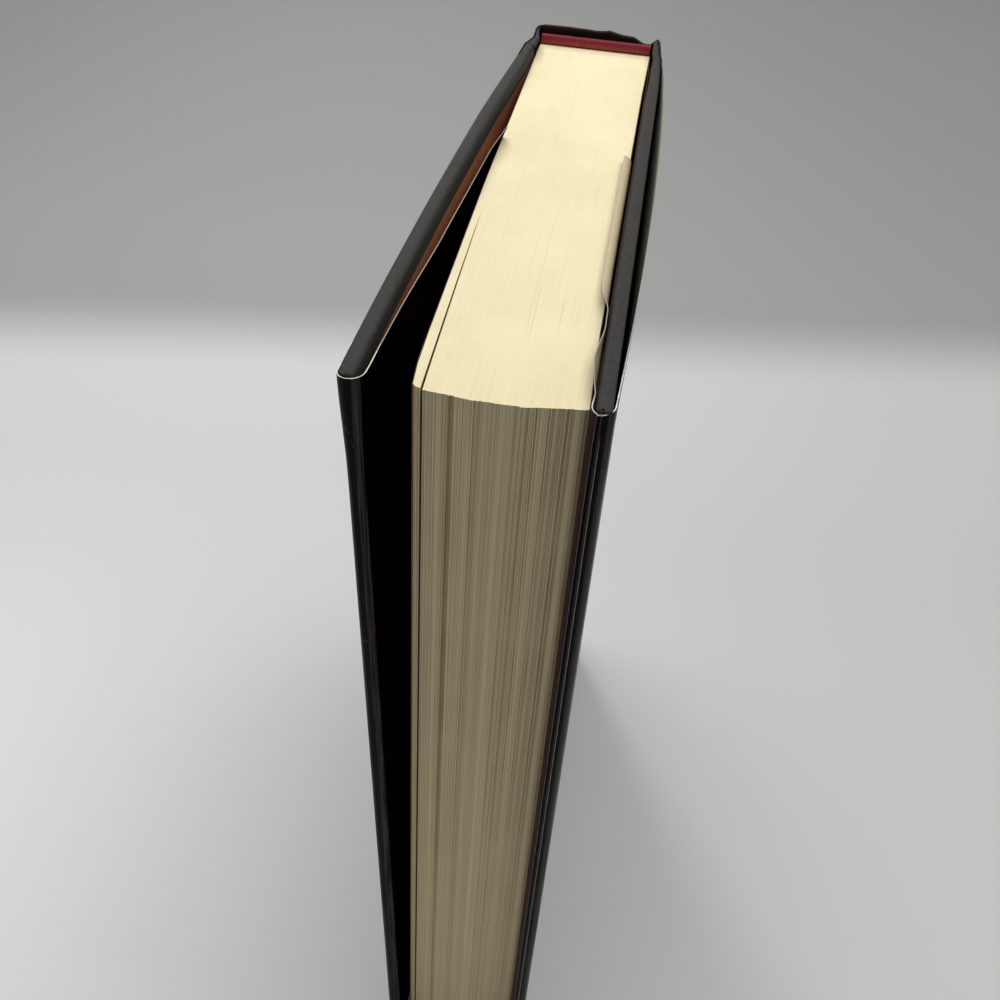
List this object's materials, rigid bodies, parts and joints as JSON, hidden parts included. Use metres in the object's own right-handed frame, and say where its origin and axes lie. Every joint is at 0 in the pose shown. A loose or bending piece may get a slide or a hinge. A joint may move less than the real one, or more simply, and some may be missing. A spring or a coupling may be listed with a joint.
{
  "type": "hardback book",
  "caption": "Hardback book in a plain black paper jacket, standing on its tail with the front cover slightly open; both covers swing on their joints.",
  "frame": {"origin": "middle of the bottom of the box round all pieces, with the book standing on its tail", "axes": "+Z from tail to head, +Y from the fore-edge to the spine, -X out through the front cover"},
  "size_m": [0.0466, 0.1654, 0.2412],
  "materials": {
    "pages": "uncoated cream book paper, trimmed smooth",
    "endpaper": "matt rust-brown endpaper",
    "band": "crimson woven band",
    "mull": "open cotton gauze",
    "lining": "brown kraft paper",
    "inlay": "thin grey-brown card",
    "board": "grey binder's board",
    "covering": "matt charcoal covering paper",
    "jacket": "black matt-laminated jacket paper, white core"
  },
  "bodies": {
    "book_block": {"text_block": "pages", "front_flyleaf": "endpaper", "rear_flyleaf": "endpaper", "head_band": "band", "tail_band": "band", "spine_mull": "mull", "spine_lining": "lining", "spine_strip": "inlay", "spine_covering": "covering", "jacket_spine": "jacket"},
    "front_cover": {"front_board": "board", "front_board_covering": "covering", "front_pastedown": "endpaper", "jacket_front": "jacket"},
    "rear_cover": {"rear_board": "board", "rear_board_covering": "covering", "rear_pastedown": "endpaper", "jacket_rear": "jacket"}
  },
  "joints": [
    {"name": "front_cover_hinge", "type": "hinge", "parent": "book_block", "child": "front_cover", "pos_m": [-0.01395, 0.07138, 0.1206], "axis": [0, 0, -1], "range_deg": [0, 165]},
    {"name": "rear_cover_hinge", "type": "hinge", "parent": "book_block", "child": "rear_cover", "pos_m": [0.02035, 0.07138, 0.1206], "axis": [0, 0, 1], "range_deg": [0, 165]}
  ]
}
